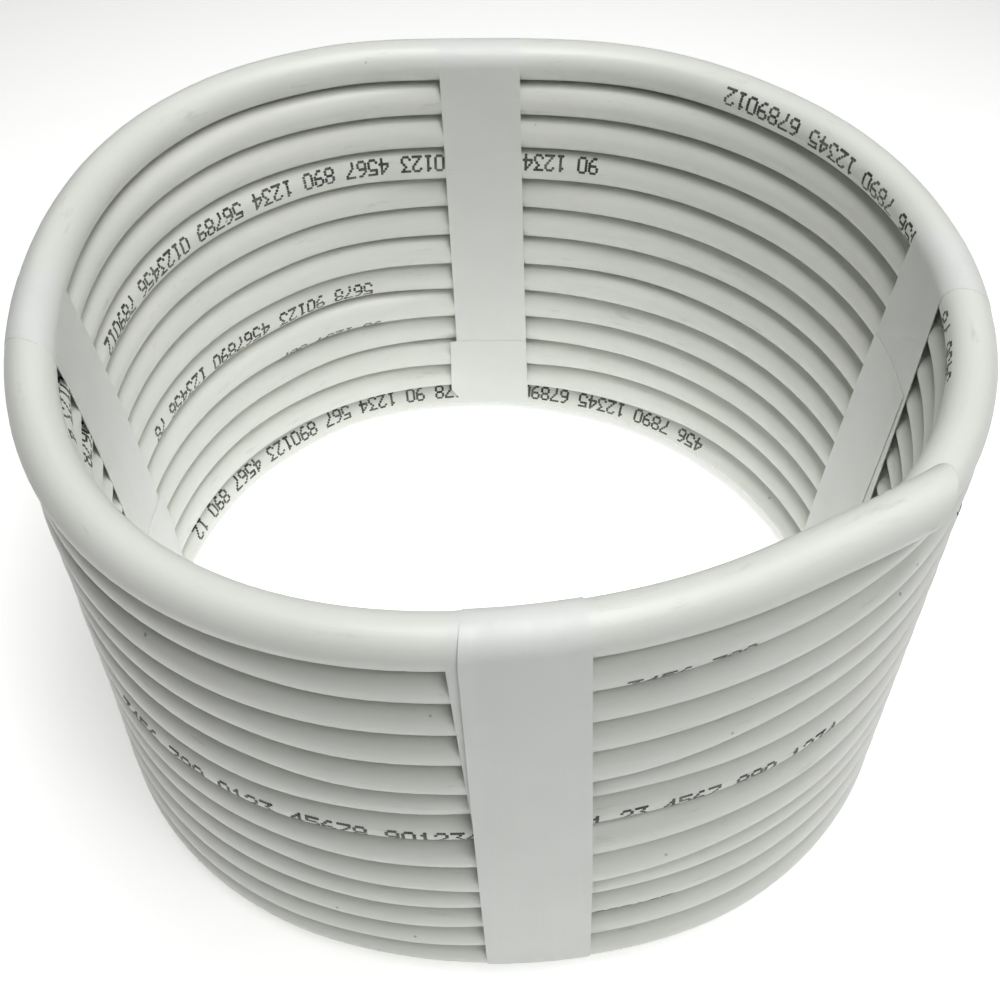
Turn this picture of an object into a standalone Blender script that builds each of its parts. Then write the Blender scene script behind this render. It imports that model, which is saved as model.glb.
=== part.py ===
"""A coil of white round electrical cable, held by four straps of white tape.

The cable is wound as one layer: its turns lie on top of each other round a bore.
Metres, +Z up. The origin is on the floor, under the middle of the coil. +X is the long
way of the slightly oval coil, and -Y is the front.
"""

import math

import bmesh
import bpy
from mathutils import Matrix

MM = 0.001

# Driving dimensions, in millimetres and degrees.
COIL_WIDTH = 131.2  # over the cable, along X
COIL_DEPTH = 125.8  # over the cable, along Y
TURNS = 13
CABLE_DIAMETER = 6.5
TURN_NESTING = 0.1  # how far each turn beds into the one below it
TAPE_WIDTH = 14.0
TAPE_THICKNESS = 0.30  # two layers of PVC tape
CLEARANCE = 0.35  # between the cable and the tape round it
TAPE_AZIMUTHS = {  # where each strap crosses the coil, counterclockwise from +X
    "tape_strap_front": -86.0,
    "tape_strap_right": 5.0,
    "tape_strap_back": 92.5,
    "tape_strap_left": 180.0,
}

# Fineness of the round shapes.
ROUND_STEPS = 48  # round the coil
GROOVE_STEPS = 4  # facets across the face of one turn
TAPE_STEPS = 4  # across the width of one strap
TAPE_FACETS = 16  # round the section of one strap

# Derived sizes.
cable_radius = CABLE_DIAMETER / 2
pitch = CABLE_DIAMETER - TURN_NESTING
mean_outer_radius = (COIL_WIDTH + COIL_DEPTH) / 4
centre_radius = mean_outer_radius - cable_radius
floor_gap = CLEARANCE + TAPE_THICKNESS  # the straps pass under the coil
lowest_turn = floor_gap + cable_radius
highest_turn = lowest_turn + (TURNS - 1) * pitch
press_oval = Matrix.Diagonal(
    (COIL_WIDTH / 2 / mean_outer_radius, COIL_DEPTH / 2 / mean_outer_radius, 1.0, 1.0)
)


def start_empty_scene():
    for obj in list(bpy.data.objects):
        bpy.data.objects.remove(obj, do_unlink=True)
    collection = bpy.data.collections.new("electrical_cable_coil")
    bpy.context.scene.collection.children.link(collection)
    return collection


def make_material(name, colour, roughness):
    material = bpy.data.materials.new(name)
    material.use_nodes = True
    shader = material.node_tree.nodes["Principled BSDF"]
    shader.inputs["Base Color"].default_value = (*colour, 1.0)
    shader.inputs["Roughness"].default_value = roughness
    shader.inputs["Metallic"].default_value = 0.0
    return material


def at_angle(centre_x, centre_z, radius, degrees):
    """A point of the upright section, by its angle from the outward direction."""
    turn = math.radians(degrees)
    return (centre_x + radius * math.cos(turn), 0.0, centre_z + radius * math.sin(turn))


def coil_section():
    """The outline of the stacked turns: down the outside, then up inside the bore."""
    # The groove between two turns is where their circles cross.
    groove_angle = math.degrees(math.asin(pitch / CABLE_DIAMETER))
    heights = [highest_turn - turn * pitch for turn in range(TURNS)]
    points = []
    for side, column in ((0, heights), (180, heights[::-1])):
        for height in column:
            for step in range(GROOVE_STEPS):
                angle = side + groove_angle * (1 - 2 * step / GROOVE_STEPS)
                points.append(at_angle(centre_radius, height, cable_radius, angle))
        # The last turn's face ends here, and one more point closes its round end.
        points.append(at_angle(centre_radius, column[-1], cable_radius, side - groove_angle))
        points.append(at_angle(centre_radius, column[-1], cable_radius, side - 90))
    return points


def tape_section():
    """The outline that a strap lies on: straight up both sides, round over both ends."""
    across = 360 / TAPE_FACETS
    corner_radius = (cable_radius + CLEARANCE) / math.cos(math.radians(across / 2))
    points = []
    for facet in range(TAPE_FACETS):
        angle = -across * (facet + 0.5)
        height = lowest_turn if facet < TAPE_FACETS / 2 else highest_turn
        points.append(at_angle(centre_radius, height, corner_radius, angle))
    return points


def turn_section(name, points, angle, steps):
    """Turns a closed outline round Z and returns the mesh."""
    outline = bmesh.new()
    corners = [outline.verts.new([MM * value for value in point]) for point in points]
    for first, second in zip(corners, corners[1:] + corners[:1]):
        outline.edges.new((first, second))
    mesh = bpy.data.meshes.new(name + "_outline")
    outline.to_mesh(mesh)
    outline.free()
    guide = bpy.data.objects.new(name + "_outline", mesh)
    bpy.context.scene.collection.objects.link(guide)
    screw = guide.modifiers.new("Screw", "SCREW")
    screw.axis = "Z"
    screw.angle = angle
    screw.steps = screw.render_steps = steps
    screw.use_merge_vertices = True
    screw.merge_threshold = 0.00001
    graph = bpy.context.evaluated_depsgraph_get()
    turned = bpy.data.meshes.new_from_object(guide.evaluated_get(graph))
    turned.name = name
    bpy.data.objects.remove(guide, do_unlink=True)
    return turned


def add_part(collection, name, mesh, material):
    obj = bpy.data.objects.new(name, mesh)
    mesh.materials.clear()
    mesh.materials.append(material)
    mesh.shade_smooth()
    mesh.set_sharp_from_angle(angle=math.radians(30))
    collection.objects.link(obj)
    return obj


def make_coil(collection):
    mesh = turn_section("cable_coil", coil_section(), 2 * math.pi, ROUND_STEPS)
    mesh.transform(press_oval)
    material = make_material("white_pvc_jacket", (0.73, 0.74, 0.70), 0.45)
    return add_part(collection, "cable_coil", mesh, material)


def make_strap(collection, name, azimuth):
    arc = TAPE_WIDTH / centre_radius
    mesh = turn_section(name, tape_section(), arc, TAPE_STEPS)
    mesh.transform(Matrix.Rotation(math.radians(azimuth) - arc / 2, 4, "Z"))
    mesh.transform(press_oval)
    material = make_material(name + "_pvc_tape", (0.77, 0.78, 0.75), 0.35)
    strap = add_part(collection, name, mesh, material)
    thickness = strap.modifiers.new("Solidify", "SOLIDIFY")
    thickness.thickness = MM * TAPE_THICKNESS
    thickness.offset = 1.0
    thickness.use_even_offset = True
    return strap


def main():
    collection = start_empty_scene()
    make_coil(collection)
    for name, azimuth in TAPE_AZIMUTHS.items():
        make_strap(collection, name, azimuth)


main()
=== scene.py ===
# %% [markdown]
# # A coil of white electrical cable
#
# About five metres of round white flexible cable, wound by hand as one layer of thirteen
# turns round an open bore, and held by four straps of white tape. This lesson builds the
# cable as the one long tube that it really is, wraps the straps round its section, prints
# plain numerals on it, and lights it like a catalogue picture.

# %% Load the fixed frame
import functools
import math
from bisect import bisect

import bmesh
import bpy
from mathutils import Matrix, Vector


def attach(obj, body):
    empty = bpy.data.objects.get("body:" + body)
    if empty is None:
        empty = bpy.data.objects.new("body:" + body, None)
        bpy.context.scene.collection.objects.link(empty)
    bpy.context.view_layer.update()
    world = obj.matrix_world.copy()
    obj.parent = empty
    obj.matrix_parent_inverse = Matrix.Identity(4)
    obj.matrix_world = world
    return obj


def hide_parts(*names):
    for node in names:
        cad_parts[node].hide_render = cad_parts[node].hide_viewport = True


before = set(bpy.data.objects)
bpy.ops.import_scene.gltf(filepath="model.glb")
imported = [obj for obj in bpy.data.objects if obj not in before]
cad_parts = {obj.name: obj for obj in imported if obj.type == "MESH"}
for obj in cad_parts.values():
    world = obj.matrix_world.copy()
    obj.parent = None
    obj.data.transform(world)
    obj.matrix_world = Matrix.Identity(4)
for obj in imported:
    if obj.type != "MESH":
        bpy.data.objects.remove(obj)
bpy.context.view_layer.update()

# %% [markdown]
# ## The winding, before any mesh
#
# The cable leaves its upper cut end at the right front and winds clockwise, seen from
# above, one pitch down each turn. The line through its middle could be drawn by hand as a
# curve, but a formula keeps every turn touching the next one. `turn` counts the turns
# from the upper end, and everything else follows from it.

# %% The winding's own sizes
MM = 0.001
CABLE_DIAMETER = 6.5
CABLE_RADIUS = CABLE_DIAMETER / 2
PITCH = 6.49  # the turns just touch
WINDING_RADIUS = 61.64  # to the middle of the cable
STACK_HEIGHT = 84.38  # from the floor side of the last turn to the top of the first
FIRST_AZIMUTH = -32.0  # where the first turn would start, counterclockwise from +X
TURN_START = 0.0187  # the upper cut end
TURN_END = 12.925  # the lower cut end, just past the right strap
FOOT_TURN = 12.5  # where the ripples of the foot are reached

# A hand-wound coil isn't quite round. Each pair is a ripple of 1, 2, 3 or 4 lobes, in mm at
# +X and a quarter of a lobe further round. Half-way down and at the foot it is added.
TOP_RIPPLES = {2: (1.87, 0.42), 3: (0.90, 0.41), 4: (-0.90, -0.27)}
MIDDLE_RIPPLES = {1: (0.11, 0.23), 2: (0.21, 0.01), 3: (0.41, 0.22), 4: (0.05, -0.08)}
FOOT_RIPPLES = {1: (0.19, 0.23), 2: (-0.99, -0.62), 3: (-0.91, -0.88), 4: (0.30, 0.29)}
MIDDLE_GROWTH, FOOT_GROWTH = -0.06, -1.19

# How far single turns stand out of the regular winding, in mm, first turn to last, at
# these azimuths.
WANDER = {
    -52: (-0.3, -0.3, 0.1, 0.1, -0.3, -0.2, 0.0, 0.3, 0.4, -0.3, -0.4, -0.4, -0.2),
    -78: (-0.1, 0.1, 0.2, 0.3, 0.6, -0.9, -0.7, 0.3, 0.9, -0.6, -0.9, -0.9, -0.7),
    -104: (-0.1, -0.2, 0.0, 0.2, 0.4, -0.2, -0.1, 0.4, 0.6, 0.2, 0.1, -0.1, -0.5),
    -121: (-0.1, -0.6, -0.1, -0.2, -0.2, 0.1, 0.1, 0.1, 0.0, 0.1, 0.2, 0.2, -0.2),
    -226: (0.7, 0.0, -0.2, -0.5, -0.5, -0.3, -0.3, 0.1, -0.4, -0.1, 0.5, 0.8, 1.0),
    -243: (0.4, -0.2, -0.2, -0.1, 0.0, 0.3, 0.3, 1.2, 0.2, 0.6, 0.7, 0.9, 2.0),
    -264: (-0.6, -0.7, -0.8, -0.9, -0.1, -0.1, -0.4, 0.0, -0.3, 0.5, -0.1, 0.7, 1.7),
    -294: (0.9, 0.2, 0.0, 0.0, -0.1, 0.0, 0.2, -0.3, 0.1, 0.3, 0.7, 0.5, 1.2),
    -316: (0.3, 0.1, -0.1, -0.3, -0.4, -0.1, -0.2, -0.2, -0.1, 0.0, 0.6, 0.9, 1.0),
}
print("ripples:", len(TOP_RIPPLES), "at the top; stations:", len(WANDER), "a turn")


# %% Ripples and wandering turns
def smooth(value):
    """0 to 1 with soft ends."""
    value = min(1.0, max(0.0, value))
    return value * value * (3 - 2 * value)


def ripple(rows, azimuth):
    """The sum of the lobes in mm at an azimuth."""
    angle = math.radians(azimuth)
    return sum(
        along * math.cos(lobes * angle) + across * math.sin(lobes * angle)
        for lobes, (along, across) in rows.items()
    )


def azimuth_at(turn):
    return FIRST_AZIMUTH - 360 * turn


def turn_at(azimuth, index):
    """The turn number where turn `index`, counted from 0, crosses an azimuth."""
    return index + ((FIRST_AZIMUTH - azimuth) % 360) / 360


def wander_stations():
    """Turn number and offset, in order down the winding, nought at the right side."""
    stations = []
    for index in range(14):
        stations.append((index - 0.02, 0.0))
        if index < 13:
            for azimuth, offsets in WANDER.items():
                stations.append((turn_at(azimuth, index), offsets[index]))
            stations.append((turn_at(178, index), 0.0))
    return sorted(stations)


STATIONS = wander_stations()
STATION_TURNS = [turn for turn, _ in STATIONS]


def wander(turn):
    """How far the cable stands out of the regular winding, smooth between the stations."""
    place = min(max(bisect(STATION_TURNS, turn), 1), len(STATIONS) - 1)
    (before, low), (after, high) = STATIONS[place - 1], STATIONS[place]
    return low + (high - low) * smooth((turn - before) / (after - before))


print("turn 5 wanders by", round(wander(turn_at(-104, 5)), 2), "mm at the front")

# %% The line through the middle of the cable
SPRING_TURN = 0.072  # the cable springs away from the coil before this turn number
SPRING_OUT, SPRING_UP = 3.0, 0.7  # how far, at the cut end


def end_spring(turn):
    """0 along the winding, rising to 1 at the upper cut end, which springs out straight."""
    return max(0.0, (SPRING_TURN - turn) / (SPRING_TURN - TURN_START))


def radius_at(turn):
    azimuth = azimuth_at(turn)
    down = turn / FOOT_TURN
    radius = WINDING_RADIUS + ripple(TOP_RIPPLES, azimuth)
    radius += 4 * down * (1 - down) * (MIDDLE_GROWTH + ripple(MIDDLE_RIPPLES, azimuth))
    radius += down * (FOOT_GROWTH + ripple(FOOT_RIPPLES, azimuth)) + wander(turn)
    return radius + SPRING_OUT * end_spring(turn) ** 2


def height_at(turn):
    sprung = SPRING_UP * end_spring(turn) ** 1.5
    return STACK_HEIGHT - CABLE_RADIUS - PITCH * turn + sprung


def middle_point(turn):
    angle = math.radians(azimuth_at(turn))
    radius = radius_at(turn)
    return Vector((radius * math.cos(angle), radius * math.sin(angle), height_at(turn)))


print("upper end at", [round(value, 1) for value in middle_point(TURN_START)])

# %% [markdown]
# ## Standing it on the floor
#
# A helix can't stand quite level, because its last turn ends under the stack: the coil
# leans by under two degrees until that end and the turn opposite both touch the floor.
# The winding is written upright, and one matrix leans it, together with the camera.

# %% The lean
LEAN_X, LEAN_Y = -0.0278, -0.0145  # slope of the plane under the last turn
TAPE_ROOM = 0.06  # the tape under the coil lifts the cable off the floor
CENTRING = 0.2  # brings the winding over the middle of the CAD coil
floor_normal = Vector((-LEAN_X, -LEAN_Y, 1.0)).normalized()
lean = floor_normal.rotation_difference(Vector((0, 0, 1))).to_matrix().to_4x4()
lowest = min(
    (lean @ middle_point(12 + step / 400)).z for step in range(1, int(400 * (TURN_END - 12)))
)
settle = Matrix.Translation((CENTRING, 0.0, CABLE_RADIUS + TAPE_ROOM - lowest)) @ lean
to_metres = Matrix.Scale(MM, 4) @ settle
print("lean, degrees:", round(math.degrees(floor_normal.angle(Vector((0, 0, 1)))), 2))

# %% [markdown]
# ## The camera
#
# The camera looks down at about 48 degrees from the front, from so near that the front of
# the coil looks wider than its back. It comes before the meshes because the frame checks a
# cord against what the camera sees.

# %% The camera
CAMERA_ELEVATION = math.radians(47.82)
CAMERA_DISTANCE = 223.78  # mm, to the middle of the coil
FOCAL_PIXELS = 1458.7  # for a picture 1000 pixels wide
forward = Vector((0, math.cos(CAMERA_ELEVATION), -math.sin(CAMERA_ELEVATION)))
eye = Vector((0, 0, STACK_HEIGHT / 2)) - CAMERA_DISTANCE * forward
camera_data = bpy.data.cameras.new("camera")
camera_data.sensor_width = 36.0
camera_data.lens = FOCAL_PIXELS / 1000 * 36.0
camera_data.shift_x = 0.0017
camera_data.shift_y = -0.0332
camera_data.clip_start = 0.01
camera = bpy.data.objects.new("camera", camera_data)
bpy.context.scene.collection.objects.link(camera)
aim = Matrix.Rotation(math.pi / 2 - CAMERA_ELEVATION, 4, "X")
camera.matrix_world = settle @ Matrix.Translation(eye) @ aim
camera.location *= MM
bpy.context.scene.camera = camera
print("camera lens, mm:", round(camera_data.lens, 1))

# %% [markdown]
# ## Helpers for materials
#
# Every finish below is a small net of nodes. One function adds a node with its settings and
# links, so that each finish reads as a list of what feeds what. Colours are written as sRGB
# hex values, as a paint chart gives them, and one function turns them to linear light.

# %% Colours, materials and nodes
def linear(hex_colour):
    """An sRGB hex colour such as #E2E2DC as linear RGBA."""
    channels = [int(hex_colour[place:place + 2], 16) / 255 for place in (1, 3, 5)]
    return (*[c / 12.92 if c <= 0.04045 else ((c + 0.055) / 1.055) ** 2.4 for c in channels], 1.0)


def new_material(name, roughness, ior):
    material = bpy.data.materials.new(name)
    material.use_nodes = True
    shader = material.node_tree.nodes["Principled BSDF"]
    shader.inputs["Roughness"].default_value = roughness
    shader.inputs["IOR"].default_value = ior
    return material, shader


def add_node(material, kind, settings, inputs):
    """Adds one node. Each input is fed by another node's output, or set to a value."""
    node = material.node_tree.nodes.new(kind)
    for name, value in settings.items():
        setattr(node, name, value)
    for name, value in inputs.items():
        if isinstance(value, bpy.types.NodeSocket):
            material.node_tree.links.new(value, node.inputs[name])
        else:
            node.inputs[name].default_value = value
    return node


def feed(material, shader, name, output):
    material.node_tree.links.new(output, shader.inputs[name])


def add_object(name, mesh):
    thing = bpy.data.objects.new(name, mesh)
    bpy.context.scene.collection.objects.link(thing)
    return thing


print("an sRGB grey of #808080 is", round(linear("#808080")[0], 3), "in linear light")

# %% [markdown]
# ## The white ground
#
# A catalogue picture stands a small thing on matt white paper. Here the paper itself glows,
# with no lamp under it: a painted glow, full under the coil and fading out further off, makes
# the ground round the coil pure white and fills the foot of the coil from below. White paper
# alone would look pale grey where less light falls on it.

# %% The backdrop paper
PAINTED_GLOW = 0.38  # painted glow that the paper itself gives off, over the middle of the floor
PAINTED_GLOW_FULL, PAINTED_GLOW_END = 0.09, 0.44  # metres from the middle
paper, paper_shader = new_material("white_backdrop_paper_painted_glow", 0.9, 1.5)
paper_shader.inputs["Emission Color"].default_value = linear("#FFFFFF")
paper_place = add_node(paper, "ShaderNodeTexCoord", {}, {})
# The paper's fibres leave a faint cloudiness.
fibres = add_node(paper, "ShaderNodeTexNoise", {}, {
    "Vector": paper_place.outputs["Object"], "Scale": 1 / (1.5 * MM), "Detail": 3.0,
})
paper_colour = add_node(paper, "ShaderNodeMix", {"data_type": "RGBA"}, {
    0: fibres.outputs[0], 6: linear("#F9F9F8"), 7: linear("#FDFDFC"),
})
feed(paper, paper_shader, "Base Color", paper_colour.outputs[2])

# Painted glow: the paper itself emits light, full near the middle of the floor and fading to
# nothing further out.
from_glow_middle = add_node(paper, "ShaderNodeVectorMath", {"operation": "LENGTH"}, {
    0: paper_place.outputs["Object"],
})
painted_glow = add_node(paper, "ShaderNodeMapRange", {"interpolation_type": "SMOOTHSTEP"}, {
    0: from_glow_middle.outputs["Value"], 1: PAINTED_GLOW_FULL, 2: PAINTED_GLOW_END, 3: PAINTED_GLOW, 4: 0.0,
})
feed(paper, paper_shader, "Emission Strength", painted_glow.outputs[0])

floor_mesh = bpy.data.meshes.new("studio_floor")
floor_mesh.from_pydata([(-3, -3, 0), (3, -3, 0), (3, 3, 0), (-3, 3, 0)], [], [(0, 1, 2, 3)])
studio_floor = add_object("studio_floor", floor_mesh)
floor_mesh.materials.append(paper)
print("paper nodes:", len(paper.node_tree.nodes))

# %% [markdown]
# ## The light
#
# White on white needs light with a direction, or the grooves between the turns vanish. A
# soft box in front and above draws the turns, and one right over the bore lights the inside.
# Two weak ones keep the right side and the back from going dark.

# %% The soft boxes
LIGHTS_AIM = Vector((0, 0, 0.04))  # metres, nearly half-way up the coil
# Plain white paper and plastic keep their own colours under the standard view.
bpy.context.scene.view_settings.view_transform = "Standard"

world = bpy.data.worlds.new("studio")
bpy.context.scene.world = world
world.use_nodes = True
world.node_tree.nodes["Background"].inputs["Color"].default_value = linear("#FFFFFF")
world.node_tree.nodes["Background"].inputs["Strength"].default_value = 0.03


def soft_light(name, place, size, watts):
    """A square soft box that looks at the middle of the coil; place and size in metres."""
    lamp = bpy.data.lights.new(name, "AREA")
    lamp.size = size
    lamp.energy = watts
    box = bpy.data.objects.new(name, lamp)
    bpy.context.scene.collection.objects.link(box)
    box.location = place
    box.rotation_euler = (LIGHTS_AIM - Vector(place)).to_track_quat("-Z", "Y").to_euler()


soft_light("front_soft_box", (0.18, -0.4, 0.92), 0.4, 3.3)
soft_light("top_soft_box", (0.03, -0.02, 0.57), 0.25, 1.75)
soft_light("right_soft_box", (0.45, 0.0, 0.35), 0.2, 0.25)
soft_light("back_soft_box", (-0.3, 0.9, 0.5), 0.6, 0.6)
print("soft boxes:", len(bpy.data.lights))

# %% [markdown]
# ## The cable jacket
#
# The real jacket is squeezed hot round the twisted cores, so its section is a plain circle
# all along. A curve with a bevel would give that too, but a mesh swept ring by ring also
# carries how far along the cable each point is, which the surface texture needs.

# %% Sweep the cable
RINGS_PER_TURN = 156
RING_POINTS = 24
ring_count = int((TURN_END - TURN_START) * RINGS_PER_TURN) + 1
ring_turns = [
    TURN_START + (TURN_END - TURN_START) * ring / (ring_count - 1) for ring in range(ring_count)
]


def cable_axes(turn):
    """The middle of the cable, and its outward, upward and along directions."""
    centre = middle_point(turn)
    along = (middle_point(turn + 0.0005) - middle_point(turn - 0.0005)).normalized()
    angle = math.radians(azimuth_at(turn))
    outward = Vector((math.cos(angle), math.sin(angle), 0.0))
    outward = (outward - outward.dot(along) * along).normalized()
    upward = outward.cross(along)
    if upward.z < 0:
        upward.negate()
    return centre, outward, upward, along


def on_cable(axes, degrees, radius):
    """A point round the cable: 0 degrees is outward, 90 up, 180 into the bore."""
    centre, outward, upward, _ = axes
    angle = math.radians(degrees)
    return centre + radius * (math.cos(angle) * outward + math.sin(angle) * upward)


rings = [cable_axes(turn) for turn in ring_turns]
lengths = [0.0]
for before, after in zip(rings, rings[1:]):
    lengths.append(lengths[-1] + (after[0] - before[0]).length)
cable_length = lengths[-1]
print("cable length, m:", round(cable_length * MM, 3), "in", ring_count, "rings")

# %% The slanting upper cut
CUT_SLANT = 0.78  # mm along for each mm across
CUT_HIGH_SIDE = math.radians(125)  # the side of the cable that the slanting cut leaves longest
CUT_FADE = 6.0  # the rings straighten up over this length


def slant(out, up):
    """How much longer the slanting cut leaves the cable at a point of its section."""
    return CUT_SLANT * (out * math.cos(CUT_HIGH_SIDE) + up * math.sin(CUT_HIGH_SIDE))


print("the cut's tip is", round(slant(-1.9, 2.7), 1), "mm longer than its middle")

# %% The jacket's mesh
CUT_ROUNDING = 0.25  # the knife rounds the jacket's rim a little
RIM_IN, RIM_BACK = 0.07, 0.08  # half-way round that rounding
CORE_HOLE = 2.35  # radius of the space that the cores fill
HOLE_DEPTH = 0.6


def sweep_jacket():
    """A tube through the rings, with a rounded rim and a shallow hole at each cut end."""
    build = bmesh.new()
    run = build.loops.layers.uv.new("cable_run")
    rows = []

    def add_row(axes, radius, shift, length):
        points = []
        for step in range(RING_POINTS):
            angle = math.tau * step / RING_POINTS
            fade = max(0.0, 1 - length / CUT_FADE)
            longer = fade * slant(radius * math.cos(angle), radius * math.sin(angle))
            point = on_cable(axes, math.degrees(angle), radius) + (shift - longer) * axes[3]
            points.append(build.verts.new(to_metres @ point))
        rows.append((points, length))

    first, last = rings[0], rings[-1]
    add_row(first, CORE_HOLE, HOLE_DEPTH, 0.0)
    add_row(first, CORE_HOLE, 0.0, 0.0)
    add_row(first, CABLE_RADIUS - CUT_ROUNDING, 0.0, 0.0)
    add_row(first, CABLE_RADIUS - RIM_IN, RIM_BACK, 0.0)
    for axes, length in zip(rings, lengths):
        shift = CUT_ROUNDING if axes is first else -CUT_ROUNDING if axes is last else 0.0
        add_row(axes, CABLE_RADIUS, shift, length)
    add_row(last, CABLE_RADIUS - RIM_IN, -RIM_BACK, cable_length)
    add_row(last, CABLE_RADIUS - CUT_ROUNDING, 0.0, cable_length)
    add_row(last, CORE_HOLE, 0.0, cable_length)
    add_row(last, CORE_HOLE, -HOLE_DEPTH, cable_length)
    for (low, low_length), (high, high_length) in zip(rows, rows[1:]):
        for step in range(RING_POINTS):
            after = (step + 1) % RING_POINTS
            face = build.faces.new((low[step], low[after], high[after], high[step]))
            face.smooth = True
            columns = (step, step + 1, step + 1, step)
            distances = (low_length, low_length, high_length, high_length)
            for loop, column, length in zip(face.loops, columns, distances):
                loop[run].uv = (MM * length, column / RING_POINTS)
    for row, _ in (rows[0], rows[-1]):
        build.faces.new(row)
    bmesh.ops.recalc_face_normals(build, faces=build.faces)
    mesh = bpy.data.meshes.new("cable")
    build.to_mesh(mesh)
    build.free()
    return mesh


# %% The jacket in the frame
cable = add_object("cable", sweep_jacket())
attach(cable, "root")
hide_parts("cable_coil")
print("jacket faces:", len(cable.data.polygons))

# %% [markdown]
# ## White flexible PVC
#
# The jacket is soft PVC, white but not bright, with a sheen from the die it was squeezed
# through. The die leaves faint lines along the cable, the plastic's filler leaves a slight
# cloudiness, and handling leaves a few specks and pale grey smears.

# %% Where a point lies on the jacket
jacket, jacket_shader = new_material("extruded_white_pvc_jacket", 0.42, 1.54)
run_map = add_node(jacket, "ShaderNodeUVMap", {"uv_map": "cable_run"}, {})
run_parts = add_node(jacket, "ShaderNodeSeparateXYZ", {}, {0: run_map.outputs["UV"]})
way_round = add_node(jacket, "ShaderNodeMath", {"operation": "MULTIPLY"}, {
    0: run_parts.outputs["Y"], 1: math.tau,
})
cosine = add_node(jacket, "ShaderNodeMath", {"operation": "COSINE"}, {0: way_round.outputs[0]})
sine = add_node(jacket, "ShaderNodeMath", {"operation": "SINE"}, {0: way_round.outputs[0]})
# Round the cable in radii and along it in metres, without a seam.
on_jacket = add_node(jacket, "ShaderNodeCombineXYZ", {}, {
    "X": cosine.outputs[0], "Y": sine.outputs[0], "Z": run_parts.outputs["X"],
})
in_space = add_node(jacket, "ShaderNodeTexCoord", {}, {})

# %% The jacket's colour
clouds = add_node(jacket, "ShaderNodeTexNoise", {}, {
    "Vector": in_space.outputs["Object"], "Scale": 1 / (28 * MM), "Detail": 3.0,
})
cloud_colour = add_node(jacket, "ShaderNodeMix", {"data_type": "RGBA"}, {
    0: clouds.outputs[0], 6: linear("#D4D7D0"), 7: linear("#E1E2DD"),
})
smear_stretch = add_node(jacket, "ShaderNodeVectorMath", {"operation": "MULTIPLY"}, {
    0: on_jacket.outputs[0], 1: (1.6, 1.6, 1 / (9 * MM)),
})
smears = add_node(jacket, "ShaderNodeTexNoise", {}, {
    "Vector": smear_stretch.outputs[0], "Scale": 1.0, "Detail": 4.0, "Roughness": 0.65,
})
smear_share = add_node(jacket, "ShaderNodeMapRange", {}, {
    0: smears.outputs[0], 1: 0.62, 2: 0.76, 3: 0.0, 4: 0.5,
})
smeared_colour = add_node(jacket, "ShaderNodeMix", {"data_type": "RGBA"}, {
    0: smear_share.outputs[0], 6: cloud_colour.outputs[2], 7: linear("#B4B4AD"),
})
specks = add_node(jacket, "ShaderNodeTexVoronoi", {}, {
    "Vector": in_space.outputs["Object"], "Scale": 1 / (9 * MM),
})
speck_share = add_node(jacket, "ShaderNodeMapRange", {}, {
    0: specks.outputs["Distance"], 1: 0.022, 2: 0.034, 3: 0.6, 4: 0.0,  # 0.2 to 0.3 mm
})
specked_colour = add_node(jacket, "ShaderNodeMix", {"data_type": "RGBA"}, {
    0: speck_share.outputs[0], 6: smeared_colour.outputs[2], 7: linear("#77776F"),
})
feed(jacket, jacket_shader, "Base Color", specked_colour.outputs[2])

# %% The jacket's sheen
die_stretch = add_node(jacket, "ShaderNodeVectorMath", {"operation": "MULTIPLY"}, {
    0: on_jacket.outputs[0], 1: (7.0, 7.0, 1 / (45 * MM)),  # lines 0.5 mm wide, 45 mm long
})
die_lines = add_node(jacket, "ShaderNodeTexNoise", {}, {
    "Vector": die_stretch.outputs[0], "Scale": 1.0, "Detail": 3.0,
})
jacket_roughness = add_node(jacket, "ShaderNodeMapRange", {}, {
    0: die_lines.outputs[0], 1: 0.3, 2: 0.7, 3: 0.36, 4: 0.48,
})
feed(jacket, jacket_shader, "Roughness", jacket_roughness.outputs[0])
grain = add_node(jacket, "ShaderNodeTexNoise", {}, {
    "Vector": in_space.outputs["Object"], "Scale": 1 / (0.7 * MM), "Detail": 2.0,
})
surface = add_node(jacket, "ShaderNodeMath", {"operation": "ADD"}, {
    0: die_lines.outputs[0], 1: grain.outputs[0],
})
jacket_bump = add_node(jacket, "ShaderNodeBump", {}, {
    "Height": surface.outputs[0], "Strength": 0.5, "Distance": 0.03 * MM,
})
feed(jacket, jacket_shader, "Normal", jacket_bump.outputs[0])
cable.data.materials.append(jacket)
print("jacket nodes:", len(jacket.node_tree.nodes))

# %% [markdown]
# ## The cut ends
#
# The lower end was cut straight through and the upper one on a slant. A two-core cord
# shows its two insulated cores there, brown and blue, each round a bundle of fine copper
# strands. They are tiny, but a bare hollow tube would give the model away from behind.

# %% Rods for cores and strands
RIM_SHARE = 0.86  # how far the face of a cut rod is narrower than the rod


def add_rod(build, axes, offset, radius, span, sides, slot, slanting):
    """A short closed rod along the cable, its middle `offset` (out, up) from the cable's."""
    centre, outward, upward, along = axes
    middle = centre + offset[0] * outward + offset[1] * upward
    depth, reach = span
    rows = []
    for distance, size in ((depth, radius), (reach, radius), (reach, radius * RIM_SHARE)):
        points = []
        for side in range(sides):
            angle = math.tau * side / sides
            out, up = size * math.cos(angle), size * math.sin(angle)
            longer = slant(offset[0] + out, offset[1] + up) if slanting else 0.0
            corner = middle + out * outward + up * upward + (distance + longer) * along
            points.append(build.verts.new(to_metres @ corner))
        rows.append(points)
    faces = [build.faces.new(rows[0]), build.faces.new(rows[-1])]
    for low, high in zip(rows, rows[1:]):
        for side in range(sides):
            after = (side + 1) % sides
            faces.append(build.faces.new((low[side], low[after], high[after], high[side])))
    for face in faces:
        face.material_index = slot


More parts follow.
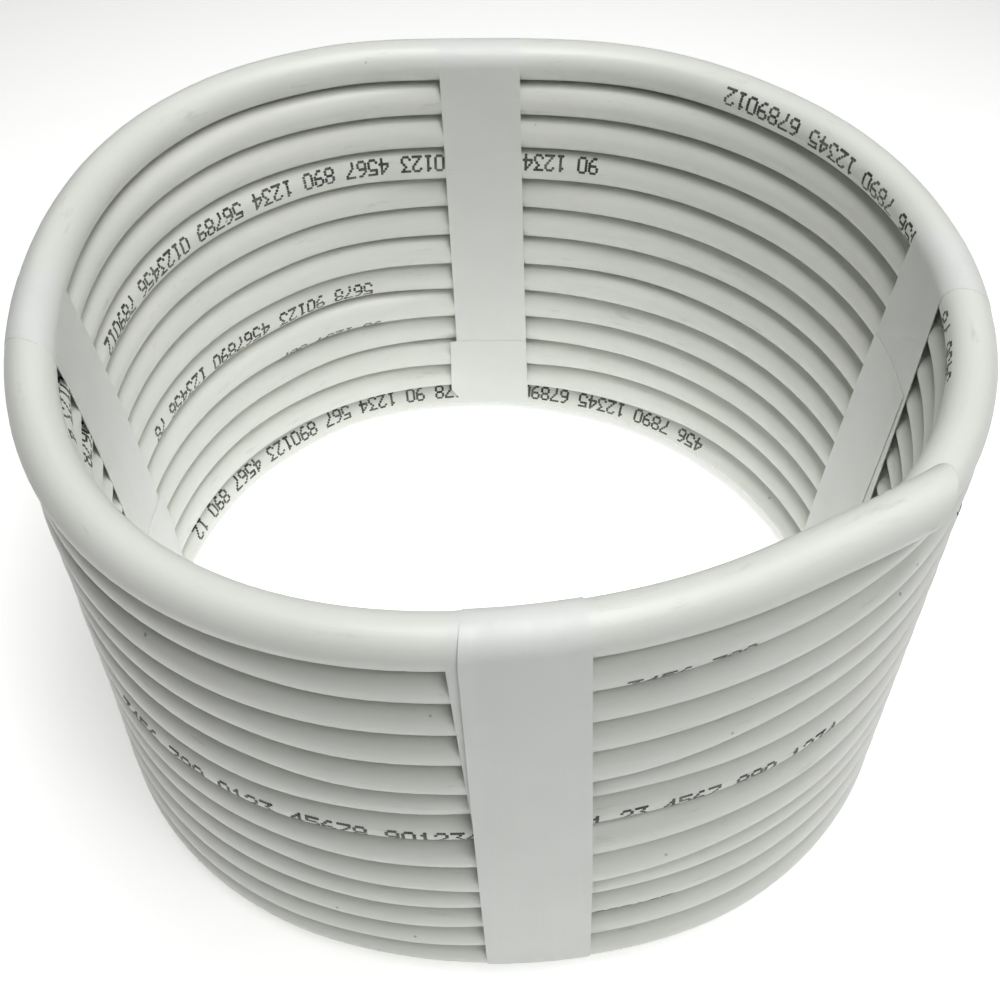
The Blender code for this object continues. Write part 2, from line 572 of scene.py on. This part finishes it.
# %% Cores and strands
CORE_RADIUS = 1.12
CORE_OFFSET = 1.15  # from the cable's middle to a core's
CORE_SPAN = (-0.55, 0.05)  # where a core begins and ends, from the cut
STRAND_RADIUS = 0.1
STRAND_STEP = 2.05 * STRAND_RADIUS
STRAND_SPAN = (-0.3, 0.13)


def strand_places():
    """Nineteen strands packed in a hexagon."""
    places = []
    for row in range(-2, 3):
        for column in range(5 - abs(row)):
            out = (column - (4 - abs(row)) / 2) * STRAND_STEP
            places.append((out, row * STRAND_STEP * 0.866))
    return places


def make_cores(name, axes, away, slanting):
    """Both cores of one cut end; `away` is 1 or -1, along or against the cable's run."""
    build = bmesh.new()
    centre, outward, upward, along = axes
    axes = (centre, outward, upward, along * away)
    for slot, middle in ((0, -CORE_OFFSET), (1, CORE_OFFSET)):
        add_rod(build, axes, (middle, 0.0), CORE_RADIUS, CORE_SPAN, 24, slot, slanting)
        for out, up in strand_places():
            place = (middle + out, up)
            add_rod(build, axes, place, STRAND_RADIUS, STRAND_SPAN, 8, 2, slanting)
    bmesh.ops.recalc_face_normals(build, faces=build.faces)
    mesh = bpy.data.meshes.new(name)
    build.to_mesh(mesh)
    build.free()
    return add_object(name, mesh)


print("strands in a core:", len(strand_places()))


# %% Core insulation and copper
def core_pvc(name, dark, light):
    """Coloured core insulation, with the fine marks that the knife left across it."""
    plastic, shader = new_material(name, 0.45, 1.54)
    place = add_node(plastic, "ShaderNodeTexCoord", {}, {})
    marks = add_node(plastic, "ShaderNodeTexNoise", {}, {
        "Vector": place.outputs["Object"], "Scale": 1 / (0.25 * MM), "Detail": 3.0,
    })
    colour = add_node(plastic, "ShaderNodeMix", {"data_type": "RGBA"}, {
        0: marks.outputs[0], 6: linear(dark), 7: linear(light),
    })
    feed(plastic, shader, "Base Color", colour.outputs[2])
    return plastic


brown_pvc = core_pvc("extruded_brown_pvc_core", "#513320", "#664229")
blue_pvc = core_pvc("extruded_blue_pvc_core", "#2A5889", "#3468A3")

# Copper wire is drawn bright and dulls in patches once it is cut.
copper, copper_shader = new_material("drawn_copper_strand", 0.28, 1.5)
copper_shader.inputs["Base Color"].default_value = linear("#D98A63")
copper_shader.inputs["Metallic"].default_value = 1.0
copper_place = add_node(copper, "ShaderNodeTexCoord", {}, {})
dulling = add_node(copper, "ShaderNodeTexNoise", {}, {
    "Vector": copper_place.outputs["Object"], "Scale": 1 / (0.15 * MM), "Detail": 2.0,
})
copper_roughness = add_node(copper, "ShaderNodeMapRange", {}, {
    0: dulling.outputs[0], 1: 0.3, 2: 0.7, 3: 0.2, 4: 0.42,
})
feed(copper, copper_shader, "Roughness", copper_roughness.outputs[0])
print("copper nodes:", len(copper.node_tree.nodes))

# %% The cores in the frame
upper_cores = make_cores("cores_upper_end", rings[0], -1, True)
lower_cores = make_cores("cores_lower_end", rings[-1], 1, False)
for cores in (upper_cores, lower_cores):
    for finish in (brown_pvc, blue_pvc, copper):
        cores.data.materials.append(finish)
    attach(cores, "root")
    print(cores.name, "has", len(cores.data.polygons), "faces")

# %% [markdown]
# ## Printed numerals
#
# An ink-jet head prints a cable while it runs past, so each sign is a grid of round dots,
# five wide and seven high. Here they are plain numerals. Each dot is a low dome of ink laid
# on the jacket by its distance along the cable and its angle round it.

# %% The numerals' dots
DIGITS = (  # each numeral's seven rows, from the top
    "01110 10001 10001 10001 10001 10001 01110",
    "00100 01100 00100 00100 00100 00100 01110",
    "01110 10001 00001 00010 00100 01000 11111",
    "11111 00010 00100 00010 00001 10001 01110",
    "00010 00110 01010 10010 11111 00010 00010",
    "11111 10000 11110 00001 00001 10001 01110",
    "00110 01000 10000 11110 10001 10001 01110",
    "11111 00001 00010 00100 01000 01000 01000",
    "01110 10001 10001 01110 10001 10001 01110",
    "01110 10001 10001 01111 00001 00010 01100",
)
DOT_RADIUS = 0.27
DOT_ROW = 0.42  # between rows of dots; a numeral is 2.9 mm high
DOT_COLUMN = 0.35
DOT_TOP, DOT_RIM = 0.03, 0.004  # how far a drop stands out, in its middle and at its rim
DOT_SIDES = 8
print("dots in an 8:", DIGITS[8].count("1"))


def add_dot(build, turn, angle, up):
    """One drop of ink, a dome whose rim lies on the jacket."""
    axes = cable_axes(turn)
    spread = math.degrees(DOT_RADIUS / CABLE_RADIUS)
    middle = angle + math.degrees(up / CABLE_RADIUS)
    top = build.verts.new(to_metres @ on_cable(axes, middle, CABLE_RADIUS + DOT_TOP))
    rim = []
    for corner in range(DOT_SIDES):
        turned = math.tau * corner / DOT_SIDES
        around = middle + spread * math.sin(turned)
        point = on_cable(axes, around, CABLE_RADIUS + DOT_RIM)
        rim.append(build.verts.new(to_metres @ (point + DOT_RADIUS * math.cos(turned) * axes[3])))
    for corner in range(DOT_SIDES):
        face = build.faces.new((top, rim[corner], rim[(corner + 1) % DOT_SIDES]))
        face.smooth = True


# %% Where the cable is printed
SIGN_STEP = 2.03  # from one numeral to the next
GROUPS = (3, 6, 4, 3, 4, 5, 7, 6, 2, 4)  # numerals between two gaps

# Turn (from 0), azimuth where a run starts and ends, and its angle round the cable there.
PRINTED = (
    (0, 12, 54.8, 180, 160),
    (1, 283.5, 299.5, -34, -34),
    (1, 193, 205, 157, 157),
    (3, 189, 199, 150, 150),
    (3, 73, 174, 150, 172),
    (6, 219, 317, -9, -14),
    (7, 113, 167, 184, 176),
    (8, 112, 136, 226, 220),
    (10, 283, 296, -38, -38),
    (12, 48, 163, 152, 144),
    (0, 345, 360, 178, 182),
    # The last four are on the outside, at the right and the back.
    (2, -24, 44, 8, 24),
    (5, 52, 130, 12, -10),
    (9, 128, 196, -14, 10),
    (11, 16, 74, 20, 4),
)


def print_run(build, count, index, begins, ends, first_angle, last_angle):
    """Prints from one azimuth to another. `count` goes on from run to run."""
    length = math.radians(ends - begins) * WINDING_RADIUS
    signs = int(length / SIGN_STEP)
    in_group, group = 0, count % len(GROUPS)
    for sign in range(signs):
        if in_group == GROUPS[group]:
            in_group, group = 0, (group + 1) % len(GROUPS)
            continue
        in_group += 1
        count += 1
        share = sign / signs
        base_angle = first_angle + (last_angle - first_angle) * share
        for row, bits in enumerate(DIGITS[count % 10].split()):
            for column, bit in enumerate(bits):
                if bit == "1":
                    along = sign * SIGN_STEP + column * DOT_COLUMN
                    azimuth = begins + math.degrees(along / WINDING_RADIUS)
                    add_dot(build, turn_at(azimuth, index), base_angle, (3 - row) * DOT_ROW)
    return count


# %% Print the numerals
ink_build = bmesh.new()
printed_count = 3  # so that the first numeral is a 4
for printed_run in PRINTED:
    printed_count = print_run(ink_build, printed_count, *printed_run)
bmesh.ops.recalc_face_normals(ink_build, faces=ink_build.faces)
ink_mesh = bpy.data.meshes.new("printed_numerals")
ink_build.to_mesh(ink_mesh)
ink_build.free()
numerals = add_object("printed_numerals", ink_mesh)
print("numerals:", printed_count, "ink faces:", len(ink_mesh.polygons))

# %% The ink
# It dries matt, and thinner here and there, so its black isn't even.
ink, ink_shader = new_material("ink_jet_printing_ink", 0.6, 1.5)
ink_place = add_node(ink, "ShaderNodeTexCoord", {}, {})
ink_film = add_node(ink, "ShaderNodeTexNoise", {}, {
    "Vector": ink_place.outputs["Object"], "Scale": 1 / (2.5 * MM), "Detail": 3.0,
})
ink_share = add_node(ink, "ShaderNodeMapRange", {}, {
    0: ink_film.outputs[0], 1: 0.4, 2: 0.7, 3: 0.0, 4: 1.0,
})
ink_colour = add_node(ink, "ShaderNodeMix", {"data_type": "RGBA"}, {
    0: ink_share.outputs[0], 6: linear("#363634"), 7: linear("#6C6C68"),
})
feed(ink, ink_shader, "Base Color", ink_colour.outputs[2])
numerals.data.materials.append(ink)
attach(numerals, "root")
print("ink nodes:", len(ink.node_tree.nodes))

# %% [markdown]

# %% [markdown]
# ## The tape straps
#
# Each strap is a length of white PVC tape pulled tight round the section of the coil: down
# outside, under the last turn, up inside the bore and over the top turn. Tape pulled over
# ridges can't follow the grooves. It bridges from ridge to ridge, so its section is the
# tightest loop round the thirteen round sections, which a convex hull gives exactly.

# %% Convex hull
def hull(points):
    """Counterclockwise convex hull of 2-D points."""
    points = sorted(points)

    def half(ordered):
        chain = []
        for point in ordered:
            while len(chain) > 1:
                (ax, ay), (bx, by) = chain[-2], chain[-1]
                if (bx - ax) * (point[1] - ay) - (by - ay) * (point[0] - ax) > 0:
                    break
                chain.pop()
            chain.append(point)
        return chain[:-1]

    return half(points) + half(points[::-1])


print("hull of a square and its middle:", len(hull([(0, 0), (2, 0), (2, 2), (0, 2), (1, 1)])))

# %% The tightest loop round the turns
SECTION_POINTS = 72  # round the cable


@functools.cache
def section_at(azimuth):
    """The middles of the turns that cross an azimuth, and the tightest loop round them."""
    turns = [turn_at(azimuth, index) for index in range(13)]
    middles = [(radius_at(turn), height_at(turn)) for turn in turns if turn <= TURN_END]
    angles = [math.tau * step / SECTION_POINTS for step in range(SECTION_POINTS)]
    cloud = [
        (radius + CABLE_RADIUS * math.cos(angle), height + CABLE_RADIUS * math.sin(angle))
        for radius, height in middles
        for angle in angles
    ]
    return middles, hull(cloud)


def reach(loop, start, direction):
    """How far a ray from inside a convex loop runs to its edge."""
    farthest = 0.0
    for (ax, ay), (bx, by) in zip(loop, loop[1:] + loop[:1]):
        ex, ey = bx - ax, by - ay
        cross = direction[0] * ey - direction[1] * ex
        if abs(cross) < 1e-12:
            continue
        along = ((ax - start[0]) * ey - (ay - start[1]) * ex) / cross
        part = ((ax - start[0]) * direction[1] - (ay - start[1]) * direction[0]) / cross
        if -1e-9 <= part <= 1 + 1e-9:
            farthest = max(farthest, along)
    return farthest


print("points in the front loop:", len(section_at(-86)[1]))


# %% A place round the loop
# Places run 0 to 1 down outside, 1 to 2 under, 2 to 3 up inside and 3 to 4 over the top.
@functools.cache
def loop_place(azimuth, place):
    """Radius, height and direction away from the coil, at a whole azimuth."""
    middles, loop = section_at(azimuth)
    (top_radius, top), (foot_radius, foot) = middles[0], middles[-1]
    wall_radius = (top_radius + foot_radius) / 2
    if place < 1:
        start, direction = (wall_radius, top + (foot - top) * place), (1.0, 0.0)
    elif place < 2:
        angle = math.pi * (1 - place)
        start, direction = (foot_radius, foot), (math.cos(angle), math.sin(angle))
    elif place < 3:
        start, direction = (wall_radius, foot + (top - foot) * (place - 2)), (-1.0, 0.0)
    else:
        angle = math.pi * (4 - place)
        start, direction = (top_radius, top), (math.cos(angle), math.sin(angle))
    far = reach(loop, start, direction)
    return (start[0] + far * direction[0], start[1] + far * direction[1], *direction)


def tape_point(azimuth, place, gap):
    """A point that lies `gap` outside the tightest loop, in the upright winding."""
    whole = math.floor(azimuth)
    share = azimuth - whole
    near, far = loop_place(whole, place), loop_place(whole + 1, place)
    radius, height, out, up = [a + (b - a) * share for a, b in zip(near, far)]
    radius, height = radius + gap * out, height + gap * up
    angle = math.radians(azimuth)
    return Vector((radius * math.cos(angle), radius * math.sin(angle), height))


print("outside of the front strap at its top:", [round(v, 1) for v in tape_point(-86, 0, 0)])

# %% Where each strap lies
# Edges: azimuths of a strap's two edges at the outside top, outside foot, inside foot and
# inside top. Start: where the free end lies, as a place round the loop. Wraps: how many
# times it goes round. Askew: how far the first layer's edges lie off the second's at those
# four places. Bow: how far the edges bend sideways half-way up the bore. Lip: an edge that
# hasn't stuck down, from one place to another, and how far it stands off.
EVEN = (0.0, 0.0)
STRAPS = {
    "tape_strap_front": {
        "edges": ((-93.9, -80.7), (-91.5, -77.4), (-91.5, -77.4), (-93.9, -80.7)),
        "start": 2.5, "wraps": 2.1, "bow": EVEN, "lip": (0, 7.5, 8.6, 0.3),
        "askew": ((-1.3, -0.2), (1.5, -0.2), (0.4, 0.4), (-0.6, -0.6)),
    },
    "tape_strap_right": {
        "edges": ((-1.5, 9.2), (3.6, 17.0), (6.2, 18.4), (0.4, 12.8)),
        "start": 2.0, "wraps": 1.19, "bow": (-0.6, 0.6), "lip": (0, 5.9, 7.0, 0.02),
        "askew": (EVEN, EVEN, (-3.2, -0.3), EVEN),
    },
    "tape_strap_back": {
        "edges": ((86.6, 99.8), (84.2, 99.3), (84.0, 99.3), (86.4, 99.95)),
        "start": 2.0, "wraps": 1.058, "bow": EVEN, "lip": (1, 6.0, 6.4, 0.1),
        "askew": (EVEN, EVEN, (0.0, -1.65), EVEN),
    },
    "tape_strap_left": {
        "edges": ((180.0, 191.2), (169.0, 181.5), (168.4, 182.4), (180.6, 195.4)),
        "start": 1.6, "wraps": 1.175, "bow": (-3.0, -3.6), "lip": (0, 5.8, 6.6, 0.3),
        "askew": (EVEN, EVEN, (1.2, 1.2), EVEN),
    },
}
print("straps:", len(STRAPS))

# %% One row across a strap
TAPE_THICKNESS = 0.12
FIRST_GAP = 0.04  # clear of the drops of ink
LAYER_STEP = TAPE_THICKNESS + 0.02
LIP_SHARES = (1.0, 0.3)  # of a lip's height, at its edge and one step in
ACROSS_STEPS = 14


def eased_pair(pairs, place):
    """A pair of values that is set at the four places, and eased under and over the coil."""
    index = int(place % 4)
    share = place % 4 - index
    share = smooth(share) if index in (1, 3) else share
    return [a + (b - a) * share for a, b in zip(pairs[index], pairs[(index + 1) % 4])]


def strap_row(strap, place, layers_below):
    """One row of points across the tape."""
    first_layer = 1 - min(1.0, layers_below)
    inside = place % 4 - 2
    bend = 4 * inside * (1 - inside) if 0 < inside < 1 else 0.0
    low, high = [
        edge + shift * first_layer + bow * bend
        for edge, shift, bow in zip(
            eased_pair(strap["edges"], place), eased_pair(strap["askew"], place), strap["bow"]
        )
    ]
    edge, begins, ends, lift = strap["lip"]
    share = min(1.0, max(0.0, (place - begins) / (ends - begins)))
    lift *= min(1.0, 6 * share * (1 - share))
    points = []
    for step in range(ACROSS_STEPS + 1):
        gap = FIRST_GAP + LAYER_STEP * layers_below
        from_edge = ACROSS_STEPS - step if edge else step
        if from_edge < len(LIP_SHARES):
            gap += lift * LIP_SHARES[from_edge]
        azimuth = low + (high - low) * step / ACROSS_STEPS
        points.append(tape_point(azimuth, round(place % 4, 6), gap))
    return points


print("points in a row:", len(strap_row(STRAPS["tape_strap_front"], 4.5, 0)))

# %% The strip of tape
SIDE_STEPS = (44, 24, 44, 24)  # rows down outside, under, up inside and over the top
CLIMB = 0.012  # the share of a lap over which the tape climbs on its own start


def strip_places(strap):
    """The places of the rows, from the free start to the free end."""
    lap = [side + step / steps for side, steps in enumerate(SIDE_STEPS) for step in range(steps)]
    laps = [4 * count + place for count in range(4) for place in lap]
    end = strap["start"] + 4 * strap["wraps"]
    return [place for place in laps if strap["start"] <= place <= end]


def make_strip(name, strap):
    """The tape as one thin sheet, and its length in metres."""
    build = bmesh.new()
    run = build.loops.layers.uv.new("tape_run")
    rows = []
    for place in strip_places(strap):
        gone = (place - strap["start"]) / 4
        layers = int(gone) + smooth((gone % 1) / CLIMB) - 1 if gone >= 1 else 0.0
        points = strap_row(strap, place, layers)
        rows.append([build.verts.new(to_metres @ point) for point in points])
    length, middle = 0.0, ACROSS_STEPS // 2
    for before, after in zip(rows, rows[1:]):
        longer = length + (after[middle].co - before[middle].co).length
        for step in range(ACROSS_STEPS):
            face = build.faces.new((before[step], before[step + 1], after[step + 1], after[step]))
            corners = ((step, length), (step + 1, length), (step + 1, longer), (step, longer))
            for loop, (column, distance) in zip(face.loops, corners):
                loop[run].uv = (MM * column, distance)
        length = longer
    mesh = bpy.data.meshes.new(name)
    build.to_mesh(mesh)
    build.free()
    return mesh, length


print("rows in the front strap:", len(strip_places(STRAPS["tape_strap_front"])))

# %% The tape's thickness
OUTWARD = 1.0  # the strip's faces look away from the coil


def make_strap(name, strap):
    """One strip of tape, wound once or twice round the section, then made a thin solid."""
    mesh, length = make_strip(name, strap)
    strap_object = add_object(name, mesh)
    thicken = strap_object.modifiers.new("tape_thickness", "SOLIDIFY")
    thicken.thickness = MM * TAPE_THICKNESS
    thicken.offset = OUTWARD
    graph = bpy.context.evaluated_depsgraph_get()
    solid = bpy.data.meshes.new_from_object(strap_object.evaluated_get(graph))
    strap_object.modifiers.remove(thicken)
    strap_object.data = solid
    solid.name = name
    solid.shade_smooth()
    solid.set_sharp_from_angle(angle=math.radians(50))
    print(name, "is", round(1000 * length), "mm of tape")
    return strap_object


# %% [markdown]
# ## White PVC tape
#
# The tape is a thin rolled sheet of soft PVC with a satin face, smoother than the jacket.
# Pulling it tight leaves fine lines along it and makes it pull in unevenly, so that its face
# waves gently, and a little air stays under it in small blisters.

# %% The tape's colour and sheen
tape, tape_shader = new_material("stretched_white_pvc_tape", 0.5, 1.5)
# The map is in metres, across the tape and along it.
tape_map = add_node(tape, "ShaderNodeUVMap", {"uv_map": "tape_run"}, {})
tape_clouds = add_node(tape, "ShaderNodeTexNoise", {}, {
    "Vector": tape_map.outputs["UV"], "Scale": 1 / (16 * MM), "Detail": 2.0,
})
tape_colour = add_node(tape, "ShaderNodeMix", {"data_type": "RGBA"}, {
    0: tape_clouds.outputs[0], 6: linear("#D4D7D3"), 7: linear("#E0E2DF"),
})
feed(tape, tape_shader, "Base Color", tape_colour.outputs[2])
pull_stretch = add_node(tape, "ShaderNodeVectorMath", {"operation": "MULTIPLY"}, {
    0: tape_map.outputs["UV"], 1: (1 / (0.9 * MM), 1 / (30 * MM), 1.0),
})
pull_lines = add_node(tape, "ShaderNodeTexNoise", {}, {
    "Vector": pull_stretch.outputs[0], "Scale": 1.0, "Detail": 2.0,
})
tape_roughness = add_node(tape, "ShaderNodeMapRange", {}, {
    0: pull_lines.outputs[0], 1: 0.3, 2: 0.7, 3: 0.42, 4: 0.56,
})
feed(tape, tape_shader, "Roughness", tape_roughness.outputs[0])

# %% The tape's face: pull lines, waves and blisters
pull_bump = add_node(tape, "ShaderNodeBump", {}, {
    "Height": pull_lines.outputs[0], "Strength": 0.6, "Distance": 0.03 * MM,
})
waves = add_node(tape, "ShaderNodeTexNoise", {}, {
    "Vector": tape_map.outputs["UV"], "Scale": 1 / (7 * MM), "Detail": 1.0,
})
wave_bump = add_node(tape, "ShaderNodeBump", {}, {
    "Height": waves.outputs[0], "Strength": 0.8, "Distance": 0.25 * MM,
    "Normal": pull_bump.outputs[0],
})
blisters = add_node(tape, "ShaderNodeTexVoronoi", {"voronoi_dimensions": "2D"}, {
    "Vector": tape_map.outputs["UV"], "Scale": 1 / (11 * MM),
})
blister_height = add_node(tape, "ShaderNodeMapRange", {"interpolation_type": "SMOOTHSTEP"}, {
    0: blisters.outputs["Distance"], 1: 0.0, 2: 0.1, 3: 1.0, 4: 0.0,  # up to 1.1 mm across
})
blister_bump = add_node(tape, "ShaderNodeBump", {}, {
    "Height": blister_height.outputs[0], "Strength": 0.8, "Distance": 0.06 * MM,
    "Normal": wave_bump.outputs[0],
})
feed(tape, tape_shader, "Normal", blister_bump.outputs[0])
print("tape nodes:", len(tape.node_tree.nodes))

# %% Wrap the straps
for name, strap in STRAPS.items():
    strap_object = make_strap(name + "_tape", strap)
    strap_object.data.materials.append(tape)
    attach(strap_object, "root")
    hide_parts(name)
